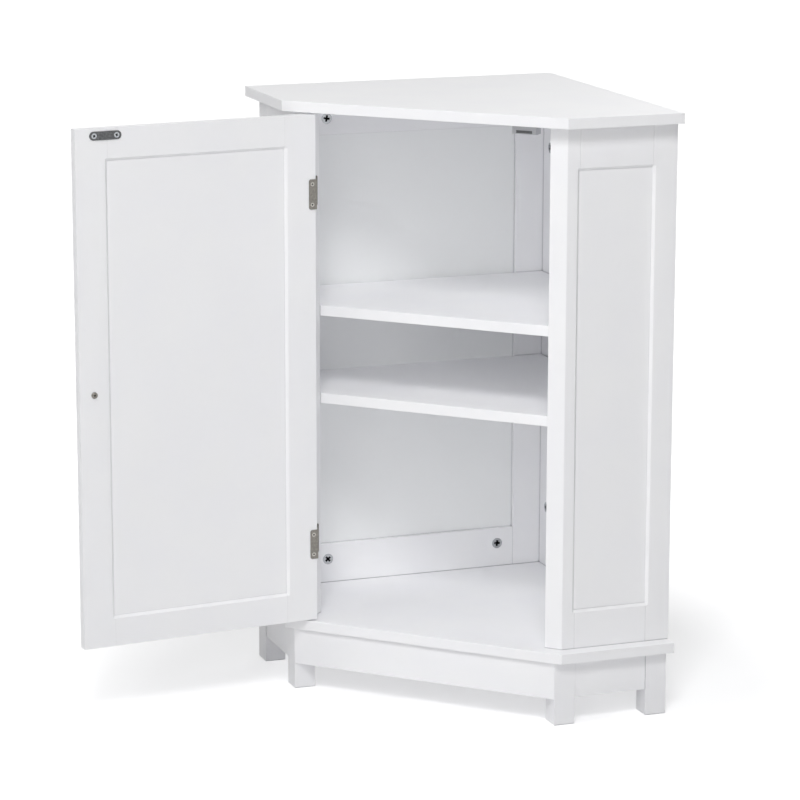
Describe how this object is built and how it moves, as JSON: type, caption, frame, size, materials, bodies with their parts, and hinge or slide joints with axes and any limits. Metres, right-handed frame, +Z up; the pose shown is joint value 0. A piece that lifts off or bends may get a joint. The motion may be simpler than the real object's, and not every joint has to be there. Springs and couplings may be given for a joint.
{
  "type": "corner bathroom cabinet",
  "caption": "Free-standing white corner cabinet with framed sides and back, inner shelves, an inset framed door on wrap-around hinges, aprons and square legs",
  "frame": {"origin": "the corner of the room, where the two walls and the floor meet", "axes": "+Z up; -Y is the front, straight out of the corner; +X is to the right seen from the front"},
  "size_m": [0.7005, 0.6809, 0.8],
  "materials": {
    "painted_mdf": "white satin paint on medium density fibreboard",
    "painted_panel": "white satin paint on a thin fibreboard panel",
    "nickel": "nickel plated steel, satin",
    "dark_steel": "dark zinc plated steel, slightly glossy",
    "catch_plastic": "white moulded plastic",
    "cam_zinc": "grey die-cast zinc",
    "zinc_steel": "bright zinc plated steel",
    "beech": "plain beech"
  },
  "bodies": {
    "cabinet": {"bottom_board": "painted_mdf", "cabinet_hinge_screws": "nickel", "cam_bolts": "zinc_steel", "cam_locks": "cam_zinc", "catch_housing": "catch_plastic", "catch_magnet": "dark_steel", "catch_pole_plates": "dark_steel", "catch_screws": "zinc_steel", "dowels": "beech", "front_apron": "painted_mdf", "left_apron": "painted_mdf", "left_back_bottom_rail": "painted_mdf", "left_back_corner_stile": "painted_mdf", "left_back_outer_stile": "painted_mdf", "left_back_panel": "painted_panel", "left_back_top_rail": "painted_mdf", "left_side_bottom_rail": "painted_mdf", "left_side_front_post": "painted_mdf", "left_side_panel": "painted_mdf", "left_side_rear_stile": "painted_mdf", "left_side_top_rail": "painted_mdf", "leg_bolts": "zinc_steel", "leg_front_left": "painted_mdf", "leg_front_right": "painted_mdf", "leg_rear_corner": "painted_mdf", "leg_rear_left": "painted_mdf", "leg_rear_right": "painted_mdf", "lower_hinge_cabinet_leaf": "nickel", "lower_hinge_pin": "nickel", "lower_shelf": "painted_mdf", "right_apron": "painted_mdf", "right_back_bottom_rail": "painted_mdf", "right_back_corner_stile": "painted_mdf", "right_back_outer_stile": "painted_mdf", "right_back_panel": "painted_panel", "right_back_top_rail": "painted_mdf", "right_side_bottom_rail": "painted_mdf", "right_side_front_post": "painted_mdf", "right_side_panel": "painted_mdf", "right_side_rear_stile": "painted_mdf", "right_side_top_rail": "painted_mdf", "shelf_pins": "zinc_steel", "top_board": "painted_mdf", "upper_hinge_cabinet_leaf": "nickel", "upper_hinge_pin": "nickel", "upper_shelf": "painted_mdf"},
    "door": {"door_hinge_stile": "painted_mdf", "door_free_stile": "painted_mdf", "door_top_rail": "painted_mdf", "door_bottom_rail": "painted_mdf", "door_panel": "painted_mdf", "upper_hinge_door_leaf": "nickel", "lower_hinge_door_leaf": "nickel", "door_hinge_screws": "nickel", "door_knob": "nickel", "knob_screw": "nickel", "strike_plate": "dark_steel", "strike_plate_screws": "zinc_steel"}
  },
  "joints": [
    {"name": "door_hinge", "type": "hinge", "parent": "cabinet", "child": "door", "pos_m": [-0.16735, -0.41075, 0.441], "axis": [0, 0, -1], "range_deg": [-129, 31]}
  ]
}
